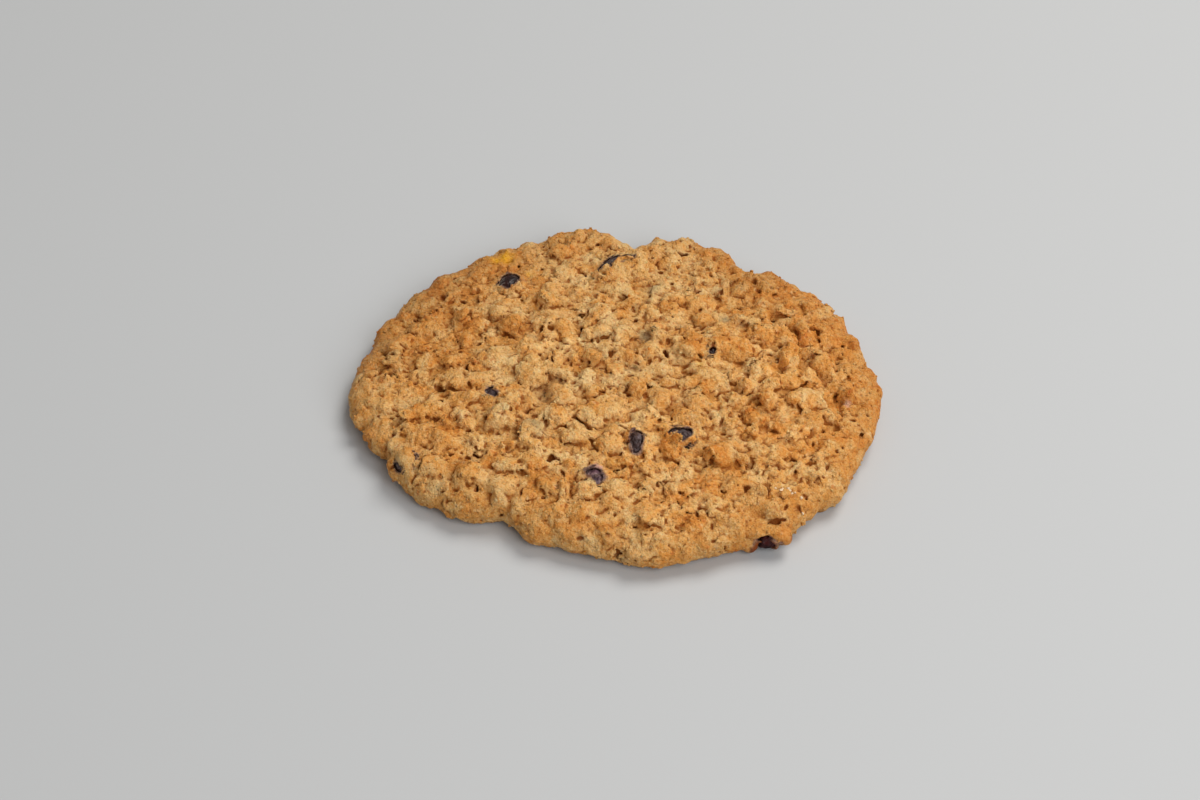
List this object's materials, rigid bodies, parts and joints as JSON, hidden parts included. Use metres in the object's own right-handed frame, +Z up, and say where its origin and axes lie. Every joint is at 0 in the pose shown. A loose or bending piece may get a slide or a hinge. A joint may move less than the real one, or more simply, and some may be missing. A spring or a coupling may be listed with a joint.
{
  "type": "oatmeal cranberry cookie",
  "caption": "Large flat baked oatmeal cookie with an uneven rounded outline, a lumpy top and rim, dried cranberries sitting in pockets of the dough, and a flat foot.",
  "frame": {"origin": "centre of the bounding box on the plane of the flat foot that the cookie rests on", "axes": "+Z up out of the top, +X along the longer diameter towards the smooth end opposite the bulge, -Y towards the side with the low rim berries"},
  "size_m": [0.1305, 0.1178, 0.0125],
  "materials": {
    "baked_dough": "matte baked crust",
    "cranberry_skin": "glossy wrinkled dried fruit skin"
  },
  "bodies": {
    "root": {"cookie": "baked_dough", "cranberry_far_left": "cranberry_skin", "cranberry_far": "cranberry_skin", "cranberry_left": "cranberry_skin", "cranberry_near_middle": "cranberry_skin", "cranberry_near_right": "cranberry_skin", "cranberry_near": "cranberry_skin", "cranberry_rim_left": "cranberry_skin", "cranberry_rim_right": "cranberry_skin", "cranberry_middle": "cranberry_skin"}
  },
  "joints": []
}
